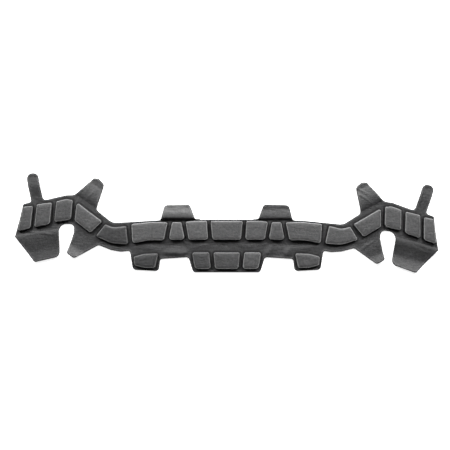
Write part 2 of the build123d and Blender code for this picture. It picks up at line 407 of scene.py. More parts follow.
@functools.lru_cache(None)
def plan():
    """The cover's plan as triangles that follow every edge: the cut edge, the feet of the blisters, the
    seams where pieces part and the lining's edge are lines that no triangle crosses, and a triangular
    lattice of points fills what is between. Returns points, triangles, their centres, which group of the
    cover and of the lining each is in, and whether it is under a blister."""
    sizes = bpy.context.scene.liner_sizes
    step = sizes.mesh_step / MM
    foot = (sizes.draft + sizes.foot_round) / MM
    edge = cover_outline()
    feet = [loop + outward(loop) * foot for _, loop in pad_loops().values()]
    outlines = {"cover": edge, "lining": edge - outward(edge) * LINING_INSET}
    loops = [*outlines.values(), *feet]
    rows, walls = [], {"cover": [], "lining": [1]}  # which runs of lines a piece ends at
    for name, (back, ahead, low, high) in blend_kinds().items():
        middle, across, along = joint_lines(name)
        tail = SEAM_TAILS.get(kind_and_side(name)[0])
        for shift in [-back, (ahead - back) / 3, ahead] + ([] if "flex" in name else [-LINING_CLEAR]):
            reach = np.arange(-low, high + 0.01, ROW_STEP)
            reach = np.r_[reach, high] if high - reach[-1] > 0.05 else reach
            row = middle + across * shift + along * reach[:, None]
            if tail and shift == -back:
                row = np.r_[[row[0] + across * tail[0] + along * tail[1]], row]
            if shift == -back:
                walls["cover"].append(len(loops) + len(rows))
            if shift == (-back if "flex" in name else -LINING_CLEAR):
                walls["lining"].append(len(loops) + len(rows))
            rows.append(row)
    hinges = np.array([joint_lines(name)[0] for name in blend_kinds() if "flex" in name])
    for middle, direction, half in channel_lines():
        if np.linalg.norm(hinges - middle, axis=1).min() > HINGE_CLEAR:
            rows.append(middle + direction * np.linspace(-half, half, round(half * 2 / ROW_STEP))[:, None])
    starts = np.cumsum([0] + [len(run) for run in loops + rows])
    lines = [np.c_[np.arange(a, b), np.r_[np.arange(a + 1, b), a]] for a, b in zip(starts, starts[1:])]
    lines[len(loops):] = [run[:-1] for run in lines[len(loops):]]
    line_starts = np.cumsum([0] + [len(run) for run in lines])
    lattice = staggered(edge.min(0), edge.max(0), step, step * math.sqrt(0.75))
    lattice = lattice[inside(lattice, edge)]
    lattice = lattice[distance_to(lattice, np.concatenate(loops + rows)) > step * 0.55]
    points = np.concatenate(loops + rows + [lattice])
    made = delaunay_2d_cdt([Vector(p) for p in points.tolist()], np.concatenate(lines).tolist(), [], 0, 1e-4)
    flat = np.array([tuple(v) for v in made[0]])
    triangles = np.array([f for f in made[2] if len(f) == 3])
    pair = np.sort(np.concatenate([triangles[:, [0, 1]], triangles[:, [1, 2]], triangles[:, [2, 0]]]), 1)
    made_edges = np.sort(np.array(made[1]), 1)
    key, made_key = (ends[:, 0] * len(flat) + ends[:, 1] for ends in (pair, made_edges))
    centre = flat[triangles].mean(1)
    in_feet = np.zeros(len(centre), bool)
    for loop in feet:
        near = np.where((np.abs(centre - loop.mean(0)) < np.abs(loop - loop.mean(0)).max(0) + 1).all(1))[0]
        in_feet[near] |= inside(centre[near], loop)
    labels = {}
    for layer, outline in outlines.items():
        ids = {n for run in walls[layer] for n in range(line_starts[run], line_starts[run + 1])}
        wall = made_key[[not ids.isdisjoint(origins) for origins in made[4]]]
        labels[layer] = regions(key, len(triangles), inside(centre, outline), wall)
    return flat, triangles, centre, labels, in_feet


def regions(key, count, kept, walls):
    """Numbers the connected groups of kept triangles: neighbours that share an edge which isn't a wall take
    the lower number of the two until nothing changes. Triangles left out get -1."""
    order = np.argsort(key, kind="stable")
    same = key[order][1:] == key[order][:-1]
    first, second = order[:-1][same] % count, order[1:][same] % count
    open_edge = ~np.isin(key[order][:-1][same], walls) & kept[first] & kept[second]
    first, second = first[open_edge], second[open_edge]
    label = np.arange(count)
    while True:
        lower = np.minimum(label[first], label[second])
        new = label.copy()
        np.minimum.at(new, first, lower)
        np.minimum.at(new, second, lower)
        new = new[new]
        if (new == label).all():
            return np.where(kept, label, -1)
        label = new


@functools.lru_cache(None)
def bodies_of(layer):
    """The body that each triangle of the cover or of the lining goes with, as an index into BODY_NODES: the
    group under a body's pad or past a tab's fold is its own, and a scrap that none claims goes to the
    nearest. The lining's triangles past a fold are found so that they can be left out."""
    centre, label = plan()[2], plan()[3][layer]
    kept = np.where(label >= 0)[0]
    body = np.full(len(label), -1)
    for number, name in enumerate(BODY_NODES):
        probes = [loop.mean(0) for owner, loop in pad_loops().values() if owner == name]
        if "tab" in name:
            middle, across, _ = joint_lines(JOINT_ONTO[name]["name"])
            probes = [middle + across * 3.0]
        for probe in probes:
            nearest = kept[((centre[kept] - probe) ** 2).sum(1).argmin()]
            body[label == label[nearest]] = number
    claimed = np.where(body >= 0)[0]
    for scrap in np.unique(label[(label >= 0) & (body < 0)]):
        at = centre[label == scrap].mean(0)
        body[label == scrap] = body[claimed[((centre[claimed] - at) ** 2).sum(1).argmin()]]
    return body


def own_part(layer, number, left_out=False):
    """The plan's points that a body's part of a layer uses, and its triangles in their numbers."""
    flat, triangles = plan()[:2]
    own = triangles[(bodies_of(layer) == number) & np.logical_not(left_out)]
    used, faces = np.unique(own, return_inverse=True)
    return flat[used], faces.reshape(-1, 3)


def in_mark(x, y, mark, unit=1.0):
    """A place in a mark's own axes, as shares of its half length and half width."""
    at_x, at_y, half_length, half_width, turn = mark[:5]
    c, s = math.cos(math.radians(turn)) / unit, math.sin(math.radians(turn)) / unit
    dx, dy = x - at_x * unit, y - at_y * unit
    return (dx * c + dy * s) * (1 / half_length), (dy * c - dx * s) * (1 / half_width)


def sheet_height(xy):
    """Height of the cover's face over a point, in metres: the flat sheet, plus an arch and a lifted tip on
    every tab, plus soft swells, each a bell exp(-u^2 - v^2) along its own axes, less a rolled-down cut
    edge."""
    height = np.zeros(len(xy))
    for name, (early, arch, peak, lift_from, lift) in TAB_SHAPE.items():
        middle, across, along = joint_lines(name)
        kind, side = kind_and_side(name)
        out, side_way = (xy - middle) @ across + early, (xy - middle) @ along
        length = TAB_LENGTH[kind] + early
        on_tab = (out > 0) & (out < length * 1.15) & (np.abs(side_way) < FOLDS[kind][2] + 4)
        if kind == "lower_star_fold":  # its strip of ground would reach the lobe, beyond the notch
            on_tab &= (xy[:, 0] - laid([NOTCH], side, True)[0][0]) * SIDES[side] < 0
        share = np.clip(out / length, 0, 1.1)
        rise = np.clip((share - lift_from) / (1 - lift_from), 0, 1.2)
        skewed = np.clip(share, 0, 1) ** (math.log(0.5) / math.log(peak))
        shape = arch * np.sin(np.pi * skewed) ** 2 + lift * rise ** 2 * (3 - 2 * rise) * 0.8
        height += np.where(on_tab, shape, 0)
    for swell in SWELLS:
        u, v = in_mark(*xy.T, swell)
        height += swell[5] * np.exp(-u * u - v * v)
    tall, wide = CHANNEL_WELT
    for middle, direction, half in channel_lines():
        along, off = (xy - middle) @ direction, (xy - middle) @ np.array([-direction[1], direction[0]])
        height += tall * np.exp(-(off / wide) ** 2 - (along / half) ** 8)
    edge_gap = distance_to(xy, cover_outline())
    height += LINING_BEAD[0] * np.exp(-((edge_gap - LINING_INSET) / LINING_BEAD[1]) ** 2)
    height -= CUT_ROLL[0] * np.exp(-(edge_gap / CUT_ROLL[1]) ** 2)
    return SHEET_TOP + height * MM


# --- Pads


SCALES = np.array([0.95, 0.82, 0.64, 0.44, 0.22])  # rings of a pad's top, as shares of its edge
# Painted light on each ring of a blister's profile: below zero painted shade down its wall, above zero a
# lighter rim, partly wear and partly painted highlight; and then the flat of its top
WALL_SHADE_AND_RIM_LIGHT = np.array([-0.9, -1.0, -1.0, -0.9, -0.6, -0.1, 0.15, 0.5, 1.0, 0.7, 0.3, 0.2])
# How much lighter a pad's top is, partly wear and partly painted light: lighter than the sheet that lies in
# shade round it, and on some pads a painted reflection of the soft boxes
TOP_WEAR_AND_LIGHT = 0.14
PAD_WEAR_AND_REFLECTION = {"foam_main_01": 0.11, "foam_main_02": 0.11, "foam_main_03": 0.09, "foam_main_05": 0.02,
            "foam_main_06": 0.17, "foam_main_07": 0.18, "foam_main_08": 0.19, "foam_main_17": 0.16,
            "foam_lower_01": 0.02, "foam_lower_02": 0.05, "foam_lower_03": 0.09, "foam_lower_05": 0.11}
RIM_WEAR_AND_HIGHLIGHT = 0.45  # share of the rim's lighter mark, partly wear and partly painted highlight, that even a pad with an unlightened top has
FOOT_FADE = 5.0  # rings over which a blister's foot leaves the swells of the sheet under it
# The cloth solver's settings for the foam's pressure
SWELL_SCALE = 10.0
SWELL_FRAMES = 14
SWELL_CLOTH = {"quality": 4, "tension_stiffness": 12, "compression_stiffness": 12, "bending_stiffness": 2,
               "vertex_group_mass": "held", "use_pressure": True, "uniform_pressure_force": 4}
# Gaps between pieces that lie on each other
FOAM_CLEAR, REST_GAP = 0.05 * MM, 0.03 * MM


def blister_profile(lower_by=0.0):
    """Offsets out from a pad's upper edge and heights over the sheet, in metres, from the foot to the flat of
    the top: a hollow arc, a drafted wall and a round arc."""
    sizes = bpy.context.scene.liner_sizes
    tall = PAD_TOP - SHEET_TOP
    hollow = np.linspace(0, 1, 5)[:-1] * np.pi / 2
    round_ = np.linspace(0, 1, 7) * np.pi / 2
    offsets = np.r_[sizes.draft + sizes.foot_round * (1 - np.sin(hollow)), sizes.draft * 0.55,
                    sizes.edge_round * (np.cos(round_) - 1)]
    heights = np.r_[sizes.foot_round * (1 - np.cos(hollow)), tall * 0.42,
                    tall - sizes.edge_round * (1 - np.sin(round_))]
    return offsets - lower_by, heights - lower_by


def pad_rings(loop, offsets, heights, base):
    """Rings of a pad as an array of ring, point, xyz, and the pole. The first rings are the loop moved along
    its normals by the profile's offsets; the rest shrink towards the middle by the scales, over a crown
    1 - s squared."""
    sizes = bpy.context.scene.liner_sizes
    loop = loop * MM
    side = loop[None] + outward(loop)[None] * offsets[:, None, None]
    middle = side[-1].mean(0)
    top = middle + (side[-1] - middle)[None] * SCALES[:, None, None]
    plan_xy = np.concatenate([side, top])
    level = np.r_[heights, heights[-1] + sizes.crown * (1 - SCALES ** 2)] + base
    rings = np.concatenate([plan_xy, np.broadcast_to(level[:, None, None], plan_xy.shape[:2] + (1,))], 2)
    return rings, np.r_[middle, base + heights[-1] + sizes.crown]


def ring_faces(rings, points, start=0):
    """Quads between neighbouring rings of a closed grid, as rows of four vertex numbers."""
    here = np.arange(rings * points).reshape(rings, points) + start
    beside = np.roll(here, -1, 1)
    return np.stack([here[:-1], beside[:-1], beside[1:], here[1:]], -1).reshape(-1, 4)


def closed_faces(rings, count, start=0):
    """Faces of a closed block: its rings, a pole past the last ring, and after that one under the first."""
    pole = start + rings * count
    return (ring_faces(rings, count, start).tolist() + fan(np.arange(pole - count, pole), pole).tolist()
            + fan(np.arange(start, start + count), pole + 1, True).tolist())


def fan(ring, pole, flipped=False):
    """Triangles from a ring of vertex numbers to a pole."""
    beside = np.roll(ring, -1)
    order = [beside, ring] if flipped else [ring, beside]
    return np.stack(order + [np.full(len(ring), pole)], -1)


@functools.lru_cache(None)
def foam_swell():
    """How the foam's pressure moves each pad's top, ring by ring: closed blocks of every pad, ten times life
    size, held at the foot and blown by the cloth solver, and the moves capped."""
    sizes = bpy.context.scene.liner_sizes
    tall = PAD_TOP - SHEET_TOP
    offsets = np.array([sizes.draft, 0.0, -sizes.edge_round])
    heights = np.array([0.0, tall - sizes.edge_round, tall])
    blocks, faces, start, spans = [], [], 0, {}
    for name, (_, loop) in pad_loops().items():
        rings, pole = pad_rings(loop, offsets, heights, 0.0)
        count = len(loop)
        blocks += [rings.reshape(-1, 3), pole[None], rings[0].mean(0)[None]]
        faces += closed_faces(len(rings), count, start)
        spans[name] = (start, len(rings), count)
        start += len(rings) * count + 2
    rest = np.concatenate(blocks)
    mesh = bpy.data.meshes.new("swelling")
    mesh.from_pydata((rest * SWELL_SCALE).tolist(), [], faces)
    block = bpy.data.objects.new("swelling", mesh)
    scene = bpy.context.scene
    scene.collection.objects.link(block)
    held = block.vertex_groups.new(name="held")
    held.add(np.where(rest[:, 2] < tall * 0.5)[0].tolist(), 1.0, "REPLACE")
    cloth = block.modifiers.new("cloth", "CLOTH")
    for key, value in SWELL_CLOTH.items():
        setattr(cloth.settings, key, value)
    cloth.settings.effector_weights.gravity = 0
    cloth.collision_settings.use_collision = False
    cloth.point_cache.frame_end = SWELL_FRAMES
    for number in range(1, SWELL_FRAMES + 1):
        scene.frame_set(number)
    blown = places_of(block.evaluated_get(bpy.context.evaluated_depsgraph_get()).data)
    scene.frame_set(1)
    move = blown / SWELL_SCALE - rest
    bpy.data.objects.remove(block)
    bpy.data.meshes.remove(mesh)
    size = np.linalg.norm(move, axis=1, keepdims=True)
    move *= np.minimum(1, sizes.swell / np.maximum(size, 1e-12))
    return {name: move[a:a + r * c].reshape(r, c, 3) for name, (a, r, c) in spans.items()}


def swollen(name, rings, profile_rings):
    """A pad's rings moved by the foam's swell: the top rings take the solver's moves, and the wall takes the
    move of the top's edge, growing with the square of its height."""
    move = foam_swell()[name]
    climb = np.linspace(0, 1, profile_rings)[:, None, None] ** 2
    return rings + np.concatenate([move[2][None] * climb, move[3:]])


# --- Meshes and finishes


def places_of(mesh):
    """The places of a mesh's vertices, a row for each."""
    points = np.zeros(len(mesh.vertices) * 3)
    mesh.vertices.foreach_get("co", points)
    return points.reshape(-1, 3)


def new_piece(name, points, faces, flat=None, wear_and_painted_light=None):
    """A mesh object at the origin, with its plan as a UV map, and as an attribute its painted light and
    rubbing: above zero a lighter mark, partly rubbing and partly painted highlight, and below zero painted
    shade in a crease."""
    mesh = bpy.data.meshes.new(name)
    mesh.from_pydata(points.tolist(), [], faces)
    loop_vertex = np.zeros(len(mesh.loops), int)
    mesh.loops.foreach_get("vertex_index", loop_vertex)
    uv = mesh.uv_layers.new(name="Flat")
    flat = points[:, :2] if flat is None else flat
    uv.data.foreach_set("uv", flat[loop_vertex].astype(np.float32).ravel())
    attribute = mesh.attributes.new("wear_and_painted_light", "FLOAT", "POINT")
    wear_and_painted_light = np.zeros(len(points)) if wear_and_painted_light is None else wear_and_painted_light
    attribute.data.foreach_set("value", wear_and_painted_light.astype(np.float32))
    mesh.polygons.foreach_set("use_smooth", np.full(len(mesh.polygons), True))
    mesh.update()
    piece = bpy.data.objects.new(name, mesh)
    bpy.context.scene.collection.objects.link(piece)
    return piece


def weld(piece, gap=0.004 * MM):
    """Joins vertices that lie on each other and makes the sheet's rim a sharp edge."""
    work = bmesh.new()
    work.from_mesh(piece.data)
    bmesh.ops.remove_doubles(work, verts=work.verts, dist=gap)
    for edge in work.edges:
        edge.smooth = not edge.is_boundary
    work.to_mesh(piece.data)
    work.free()
    piece.data.update()


def thicken(piece, thickness):
    """Gives an open sheet its thickness, downwards from its face."""
    solid = piece.modifiers.new("thickness", "SOLIDIFY")
    solid.thickness = thickness
    solid.offset = -1
    solid.use_even_offset = False


def sum_of(operation, turned=False):
    """A method that adds a Math node, with its inputs the other way round for the reflected form."""
    def method(self, other):
        first, second = (other, self) if turned else (self, other)
        return self.finish.node("ShaderNodeMath", {"operation": operation}, {0: first, 1: second})
    return method


class Signal:
    """A socket of a material that takes part in sums."""

    __add__, __radd__ = sum_of("ADD"), sum_of("ADD", True)
    __sub__, __rsub__ = sum_of("SUBTRACT"), sum_of("SUBTRACT", True)
    __mul__, __rmul__ = sum_of("MULTIPLY"), sum_of("MULTIPLY", True)
    at_least, at_most = sum_of("MAXIMUM"), sum_of("MINIMUM")

    def __init__(self, finish, socket):
        self.finish, self.socket = finish, socket


def shades(colour, dark, light):
    """A colour's dark and light shades."""
    return tuple(dark * c for c in colour), tuple(light * c for c in colour)


class Finish:
    """A procedural material with one Principled shader."""

    def __init__(self, name):
        self.material = bpy.data.materials.new(name)
        self.material.use_nodes = True
        self.tree = self.material.node_tree
        self.shader = self.tree.nodes["Principled BSDF"]

    def node(self, kind, settings, inputs, output=0):
        made = self.tree.nodes.new(kind)
        for key, value in settings.items():
            setattr(made, key, value)
        for key, value in inputs.items():
            if isinstance(value, Signal):
                self.tree.links.new(value.socket, made.inputs[key])
            else:
                made.inputs[key].default_value = value
        return Signal(self, made.outputs[output])

    def mix(self, share, first, second):
        """Two colours by a share."""
        picked = [v if isinstance(v, Signal) else (*v, 1.0) for v in (first, second)]
        return self.node("ShaderNodeMix", {"data_type": "RGBA"}, {0: share, 6: picked[0], 7: picked[1]}, 2)

    def noise(self, place, scale, detail=2.0, roughness=0.5):
        return self.node("ShaderNodeTexNoise", {}, {"Vector": place, "Scale": scale, "Detail": detail,
                                                    "Roughness": roughness})

    def cells(self, place, scale, feature="F1"):
        return self.node("ShaderNodeTexVoronoi", {"feature": feature}, {"Vector": place, "Scale": scale})

    def ramp(self, share, low, high):
        return self.node("ShaderNodeMapRange", {}, {"Value": share, "From Min": low, "From Max": high})

    def set(self, **values):
        for key, value in values.items():
            socket = self.shader.inputs[key.replace("_", " ")]
            if isinstance(value, Signal):
                self.tree.links.new(value.socket, socket)
            else:
                socket.default_value = value

    def bump(self, height, distance, strength=1.0):
        return self.node("ShaderNodeBump", {}, {"Strength": strength, "Distance": distance, "Height": height})


@functools.lru_cache(None)
def cover_finish():
    """Leather-like coated face: pebbled grain 0.7 mm across, faint brushed streaks and cloudy tone, with
    lighter edges and tops, partly rubbing and partly painted highlight, and painted shade in creases and
    pressed lines."""
    colours = bpy.context.scene.liner_colours
    finish = Finish("cover_leatherette")
    place = finish.node("ShaderNodeUVMap", {"uv_map": "Flat"}, {})
    across = finish.node("ShaderNodeSeparateXYZ", {}, {0: place}, 0)
    up = finish.node("ShaderNodeSeparateXYZ", {}, {0: place}, 1)
    score = 0.0
    for line in SCORES:
        u, v = in_mark(across, up, line, MM)
        score = score + line[5] * (1.0 - (u * u * u * u + v * v)).at_least(0.0)
    light_and_wear_mark = finish.node("ShaderNodeAttribute", {"attribute_name": "wear_and_painted_light"}, {}, 2)
    wear_and_painted_light, painted_shade = light_and_wear_mark.at_least(0.0), (0.0 - light_and_wear_mark).at_least(0.0)
    cloud = finish.noise(place, 34.0, 3.0, 0.6)
    fine = finish.noise(place, 290.0, 3.0, 0.7)
    streak_place = finish.node("ShaderNodeMapping", {}, {"Vector": place, "Rotation": (0, 0, 0.5),
                                                         "Scale": (90.0, 520.0, 1.0)})
    streak = finish.noise(streak_place, 1.0, 2.0, 0.5)
    pebble = finish.cells(place, 1100.0, "SMOOTH_F1")
    crease = finish.cells(place, 640.0, "DISTANCE_TO_EDGE")
    tone = finish.ramp(cloud * 0.30 + fine * 0.42 + streak * 0.28, 0.36, 0.64)
    # Painted shade: where the attribute is below zero (blister walls and feet, cut edge, a lobe's hollow) and
    # along the pressed lines, the colour goes towards near black
    body = finish.mix((0.92 * painted_shade + 0.6 * score).at_most(1.0),
                      finish.mix(tone, *shades(colours.cover, 0.42, 1.68)), (0.006, 0.006, 0.006))
    # Share of the lighter colour: the attribute above zero, partly wear and partly painted highlight
    edge = (wear_and_painted_light * (0.35 + 1.3 * fine)).at_most(1.0)
    finish.set(Base_Color=finish.mix(edge, body, tuple(colours.wear_and_painted_light)),
               Roughness=0.47 + 0.16 * cloud - 0.10 * edge + 0.3 * painted_shade + 0.06 * fine)
    height = pebble * 0.35 + crease.at_most(0.12) * 1.6 + fine * 2.2 + streak * 1.2 - 1.5 * score
    finish.set(Normal=finish.bump(height, 0.00035, 0.9), Specular_IOR_Level=0.5)
    return finish.material


@functools.lru_cache(None)
def foam_finish():
    """Closed-cell foam: small round cells that dimple the face."""
    colours = bpy.context.scene.liner_colours
    finish = Finish("foam_cells")
    place = finish.node("ShaderNodeTexCoord", {}, {}, 3)
    cell = finish.cells(place, 1500.0)
    patch = finish.noise(place, 90.0, 2.0)
    finish.set(Base_Color=finish.mix(finish.ramp(cell * 0.7 + patch * 0.3, 0.1, 0.7),
                                     *shades(colours.foam, 0.6, 1.5)),
               Roughness=0.82 + 0.1 * patch, Normal=finish.bump(cell, 0.0002, 0.8))
    return finish.material


@functools.lru_cache(None)
def lining_finish():
    """Brushed loop knit: rows of loops 0.9 mm apart, broken up by noise, with a soft nap."""
    colours = bpy.context.scene.liner_colours
    finish = Finish("lining_loops")
    place = finish.node("ShaderNodeUVMap", {"uv_map": "Flat"}, {})
    stray = finish.noise(place, 500.0, 3.0, 0.6)
    rows = finish.node("ShaderNodeTexWave", {"wave_type": "BANDS", "bands_direction": "Y"},
                       {"Vector": place, "Scale": 180.0, "Distortion": 3.0, "Detail": 2.0,
                        "Detail Scale": 3.0}, 1)
    loops = finish.cells(place, 1100.0)
    height = rows * 0.5 + loops * 0.5 + stray * 0.6
    finish.set(Base_Color=finish.mix(finish.ramp(height, 0.4, 1.2), *shades(colours.lining, 0.5, 1.9)),
               Roughness=0.9, Normal=finish.bump(height, 0.0003, 0.9), Sheen_Weight=0.15,
               Sheen_Roughness=0.6)
    return finish.material


@functools.lru_cache(None)
def hook_finish():
    """Moulded nylon hook tape: dark, slightly glossy, with faint mould lines."""
    colours = bpy.context.scene.liner_colours
    finish = Finish("hook_tape")
    place = finish.node("ShaderNodeTexCoord", {}, {}, 3)
    patch = finish.noise(place, 300.0, 2.0)
    lines = finish.node("ShaderNodeTexWave", {"wave_type": "BANDS", "bands_direction": "X"},
                        {"Vector": place, "Scale": 400.0, "Distortion": 0.6}, 1)
    finish.set(Base_Color=finish.mix(finish.ramp(patch, 0.3, 0.7), *shades(colours.hook, 0.7, 1.5)),
               Roughness=0.38 + 0.2 * patch, Normal=finish.bump(lines * 0.4 + patch * 0.4, 0.0001, 0.6))
    return finish.material


def hang(piece, child):
    """Puts a piece on its body where that body has no joint to a parent; where it has one, only bakes the
    piece's place into its mesh.
    """
    joint = JOINT_ONTO.get(child)
    if joint is None:
        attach(piece, child)
        return
    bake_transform(piece)


def declare_sheet(piece):
    """Works out the width and length of a sheet's box, and does nothing with them."""
    width, length, _ = np.ptp(places_of(piece.data), axis=0)


def plan_area(points, triangles):
    """Area of triangles seen from above."""
    a, b, c = (points[triangles[:, k], :2] for k in range(3))
    return 0.5 * np.abs(np.cross(b - a, c - a)).sum()


BODY_NODES = {
    "centre": "cover_centre",
    **{f"{length}_{side}": f"cover_{length}_{side}" for side in SIDES for length in SIDE_PADS},
    **{f"{tab[:-5]}_tab_{side}": f"tab_{tab[:-5]}_{side}" for side in SIDES for tab in FOLDS},
}


# Painted highlight on the bead over the lining's edge and painted shade at the cut edge, each by depth and
# width, and painted shade on the ground round a blister's foot, by depth, start and width
BEAD_HIGHLIGHT, CUT_EDGE_SHADE, FOOT_SHADE = (0.16, 0.5), (0.5, 0.5), (0.95, 1.0, 1.7)


def ground_painted_light(xy, body):
    """Painted light on the cover between its pads: bells exp(-d^2) of the distance from the bead, a painted
    highlight, and from the cut edge and the blisters' feet, painted shade; plus a tab's painted highlight,
    which grows with the square of the way past its fold, less painted shade in the hollow beside a lobe's
    fold."""
    feet = np.concatenate([loop for _, loop in pad_loops().values()])
    edge_gap = distance_to(xy, cover_outline())
    wear_and_painted_light = BEAD_HIGHLIGHT[0] * np.exp(-((edge_gap - LINING_INSET) / BEAD_HIGHLIGHT[1]) ** 2)
    wear_and_painted_light -= CUT_EDGE_SHADE[0] * np.exp(-(edge_gap / CUT_EDGE_SHADE[1]) ** 2)
    depth, start, width = FOOT_SHADE
    wear_and_painted_light -= depth * np.exp(-((distance_to(xy, feet) - start) / width).clip(0) ** 2)
    joint = JOINT_ONTO.get(body, {"name": None})["name"]
    if joint in TAB_HIGHLIGHT or joint in LOBE_HOLLOW_SHADE:
        middle, across, _ = joint_lines(joint)
        out = (xy - middle) @ across
        # painted highlight on a tab, and painted shade in a lobe's hollow
        amount, reach = TAB_HIGHLIGHT.get(joint, (0.0, 1.0))
        wear_and_painted_light += amount * np.clip(out / reach, 0, 1) ** 2
        depth, start, width = LOBE_HOLLOW_SHADE.get(joint, (0.0, 0.0, 1.0))
        wear_and_painted_light -= depth * np.exp(-((out - start) / width) ** 2)
    return wear_and_painted_light


class LINER_OT_covers(bpy.types.Operator):
    """Make the leather-like cover, with its blisters and its tabs"""

    bl_idname = "liner.covers"
    bl_label = "Cover"

    def execute(self, context):
        in_feet = plan()[4]
        offsets, heights = blister_profile()
        walk = np.r_[0, np.cumsum(np.hypot(np.diff(offsets), np.diff(heights)))]
        stretch = (walk[-1] - walk) - (offsets - offsets[-1])
        for number, (body, node) in enumerate(BODY_NODES.items()):
            xy, faces = own_part("cover", number, in_feet)
            points = np.c_[xy * MM, sheet_height(xy)]
            wear_and_painted_light = ground_painted_light(xy, body)
            uv, faces, area = xy * MM, faces.tolist(), plan_area(points, faces)
            for name, (owner, loop) in pad_loops().items():
                if owner != body:
                    continue
                rings, pole = pad_rings(loop, offsets, heights, SHEET_TOP)
                rings = swollen(name, rings, len(offsets))
                rise = sheet_height(rings[0, :, :2] / MM) - SHEET_TOP
                fade = np.clip(1 - np.arange(len(rings)) / FOOT_FADE, 0, 1)
                rings[:, :, 2] += fade[:, None] * rise[None]
                count, start = rings.shape[1], len(points)
                plan_xy = rings[:, :, :2].copy()
                plan_xy[:len(offsets)] += outward(loop)[None] * stretch[:, None, None]
                # A pad's top is lighter, partly wear and partly painted light; its wall takes painted shade
                # and its rim a lighter mark, partly wear and partly painted highlight
                top_light_and_wear = PAD_WEAR_AND_REFLECTION.get(name, TOP_WEAR_AND_LIGHT)
                mark = np.full(rings.shape[:2], top_light_and_wear)
                rim = RIM_WEAR_AND_HIGHLIGHT + (1 - RIM_WEAR_AND_HIGHLIGHT) * top_light_and_wear / TOP_WEAR_AND_LIGHT
                mark[:len(offsets)] = np.where(WALL_SHADE_AND_RIM_LIGHT > 0, WALL_SHADE_AND_RIM_LIGHT * rim, WALL_SHADE_AND_RIM_LIGHT)[:, None]
                faces += closed_faces(len(rings), count, start)[:-count]  # a blister has no floor
                points = np.r_[points, rings.reshape(-1, 3), pole[None]]
                uv = np.r_[uv, plan_xy.reshape(-1, 2), pole[None, :2]]
                wear_and_painted_light = np.r_[wear_and_painted_light, mark.ravel(), top_light_and_wear]
                area += inner_area(rings[0, :, :2])
            piece = new_piece(f"{node}_skin", points, faces, uv, wear_and_painted_light)
            weld(piece)
            thicken(piece, SKIN)
            piece.data.materials.append(cover_finish())
            declare_sheet(piece)
            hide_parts(node)
            hang(piece, body)
        return {"FINISHED"}


def inner_area(loop):
    """Area inside a closed loop by the shoelace sum."""
    x, y = loop.T
    return abs((x * np.roll(y, -1) - y * np.roll(x, -1)).sum()) / 2


class LINER_OT_foam(bpy.types.Operator):
    """Make the foam block in each blister"""

    bl_idname = "liner.foam"
    bl_label = "Foam pads"

    def execute(self, context):
        offsets, heights = (profile[3:] for profile in blister_profile(SKIN + FOAM_CLEAR))
        heights[0] = 0.02 * MM
        for name, (body, loop) in pad_loops().items():
            rings, pole = pad_rings(loop, offsets, heights, SHEET_TOP)
            rings = swollen(name, rings, len(offsets))
            foot = rings[0].copy()
            foot[:, 2] = LINING_TOP + REST_GAP
            rings = np.concatenate([foot[None], rings])
            points = np.r_[rings.reshape(-1, 3), pole[None], foot.mean(0)[None]]
            faces = closed_faces(*rings.shape[:2])
            piece = new_piece(f"{name}_block", points, faces)
            piece.data.materials.append(foam_finish())
            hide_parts(name)
            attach(piece, body)
        return {"FINISHED"}


class LINER_OT_lining(bpy.types.Operator):
    """Make the loop-faced lining behind the band"""

    bl_idname = "liner.lining"
    bl_label = "Lining"

    def execute(self, context):
        for number, body in enumerate(BODY_NODES):
            if "tab" in body:
                continue
            xy, faces = own_part("lining", number)
            points = np.c_[xy * MM, np.full(len(xy), LINING_TOP)]
            piece = new_piece(f"backing_{body}_lining", points, faces.tolist(), xy * MM)
            weld(piece)
            thicken(piece, LINING_TOP)
            piece.data.materials.append(lining_finish())
            declare_sheet(piece)
            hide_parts(f"backing_{body}")
            hang(piece, body)
        return {"FINISHED"}


def hook_studs(spots, base, tall):
    """Little mushroom hooks standing down from a patch: a round profile of stem and cap carried round an
    octagon, one copy at each spot."""
    radius = np.array([0.22, 0.18, 0.18, 0.40, 0.30]) * MM
    depth = np.array([0.0, 0.25, 0.65, 0.78, 1.0]) * tall
    turn = np.arange(8) * np.pi / 4
    ring = np.stack([np.cos(turn), np.sin(turn)], -1)
    shape = np.concatenate([radius[:, None, None] * ring[None],
                            np.broadcast_to(-depth[:, None, None], (5, 8, 1))], 2).reshape(-1, 3)
    shape = np.r_[shape, [[0, 0, -tall]]]
    faces = np.r_[ring_faces(5, 8), np.c_[fan(np.arange(32, 40), 40), np.full(8, -1)]][:, ::-1]
    points = shape[None] + np.c_[spots, base][:, None]
    shift = np.arange(len(spots))[:, None, None] * len(shape)
    return points.reshape(-1, 3), np.where(faces[None] < 0, -1, faces[None] + shift).reshape(-1, 4)


TAPE, TAPE_ROUND, HOOK_TALL = 0.42 * MM, 0.10 * MM, 0.55 * MM  # tape's thickness and rim, hook's height
TAPE_SCALES = np.array([1.0, 0.97, 0.8, 0.6, 0.4, 0.2])


